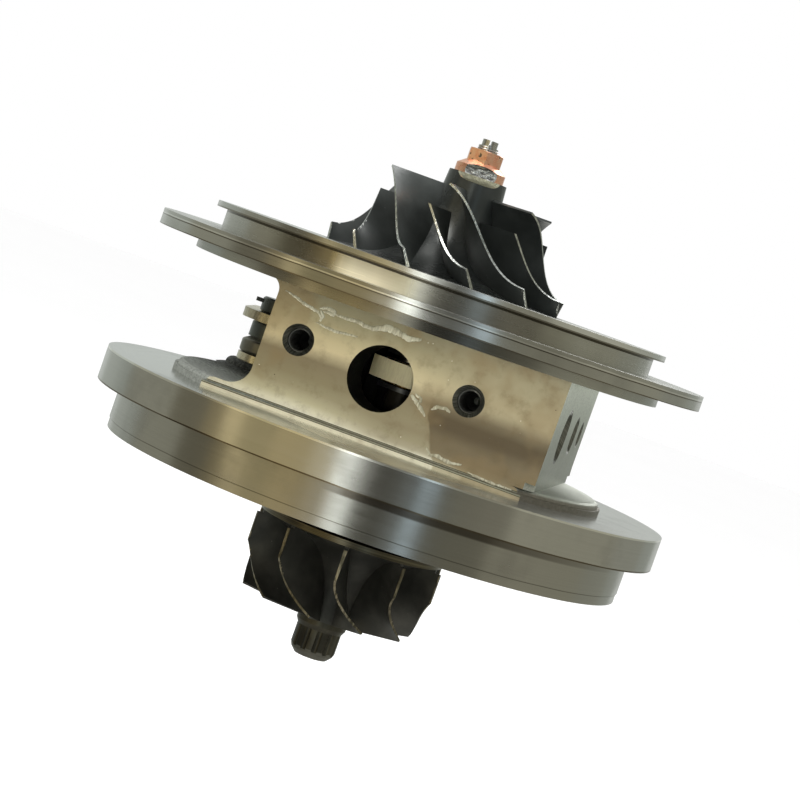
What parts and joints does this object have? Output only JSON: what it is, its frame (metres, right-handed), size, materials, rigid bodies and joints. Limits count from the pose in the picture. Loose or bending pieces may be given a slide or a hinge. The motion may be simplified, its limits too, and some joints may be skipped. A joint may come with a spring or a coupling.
{
  "type": "turbocharger cartridge",
  "caption": "Core of a turbocharger: flanged bearing housing and backplate round a shaft with compressor and turbine wheels, with a vane crank and lever.",
  "frame": {"origin": "rotor axis at the turbine flange's seating face", "axes": "+Z along the rotor axis towards the compressor wheel, -Y out of the oil drain face, +X out of the oil feed face"},
  "size_m": [0.1286, 0.1286, 0.1205],
  "materials": {
    "cast_iron_machined": "turned and ground cast iron, satin",
    "cast_steel_plate": "turned bright, fine circular lines",
    "black_aluminium": "dark coated aluminium, satin",
    "coppered_nut": "copper plated steel, satin",
    "bright_steel": "ground steel",
    "nickel_alloy": "dark heat resisting casting",
    "bearing_bronze": "machined bronze",
    "ring_steel": "ring iron",
    "black_oxide_steel": "black oxide steel",
    "bare_link_steel": "bare steel plate",
    "shield_steel": "pressed stainless steel",
    "seal_rubber": "black rubber"
  },
  "bodies": {
    "housing": {"bearing_housing": "cast_iron_machined", "compressor_backplate": "cast_steel_plate", "backplate_screws": "black_oxide_steel", "backplate_seal_ring": "seal_rubber", "thrust_bearing": "bearing_bronze", "thrust_bearing_pins": "ring_steel", "oil_deflector": "bare_link_steel", "compressor_seal_rings": "ring_steel", "turbine_seal_ring": "ring_steel", "bearing_snap_rings": "ring_steel", "heat_shield": "shield_steel", "nozzle_dowel": "bright_steel", "crank_bush": "bare_link_steel"},
    "rotor": {"rotor_shaft": "bright_steel", "turbine_wheel_hub": "nickel_alloy", "turbine_wheel_blades": "nickel_alloy", "compressor_wheel_hub": "black_aluminium", "compressor_wheel_blades": "black_aluminium", "compressor_nut": "coppered_nut", "flinger_sleeve": "bright_steel", "thrust_collar": "bright_steel"},
    "compressor_side_bearing": {"journal_bearing_compressor": "bearing_bronze"},
    "turbine_side_bearing": {"journal_bearing_turbine": "bearing_bronze"},
    "crank": {"crank_shaft": "black_oxide_steel", "inner_crank_arm": "black_oxide_steel", "lever_arm": "black_oxide_steel", "link_pin": "black_oxide_steel", "pin_collar": "black_oxide_steel", "split_pin": "black_oxide_steel"},
    "link": {"link_plate": "bare_link_steel"}
  },
  "joints": [
    {"name": "rotor_spin", "type": "hinge", "parent": "housing", "child": "rotor", "pos_m": [0, 0, 0], "axis": [0, 0, 1], "continuous": true},
    {"name": "compressor_side_bearing_float", "type": "hinge", "parent": "housing", "child": "compressor_side_bearing", "pos_m": [0, 0, 0.0221], "axis": [0, 0, 1], "continuous": true},
    {"name": "turbine_side_bearing_float", "type": "hinge", "parent": "housing", "child": "turbine_side_bearing", "pos_m": [0, 0, 0.0042], "axis": [0, 0, 1], "continuous": true},
    {"name": "vane_crank_turn", "type": "hinge", "parent": "housing", "child": "crank", "pos_m": [-0.0353, 0.02, 0.014], "axis": [0, 0, 1], "range_deg": [-10, 45]},
    {"name": "link_swing", "type": "hinge", "parent": "crank", "child": "link", "pos_m": [-0.03844, 0.03467, 0.02218], "axis": [0, 0, 1], "range_deg": [-35, 35]}
  ]
}
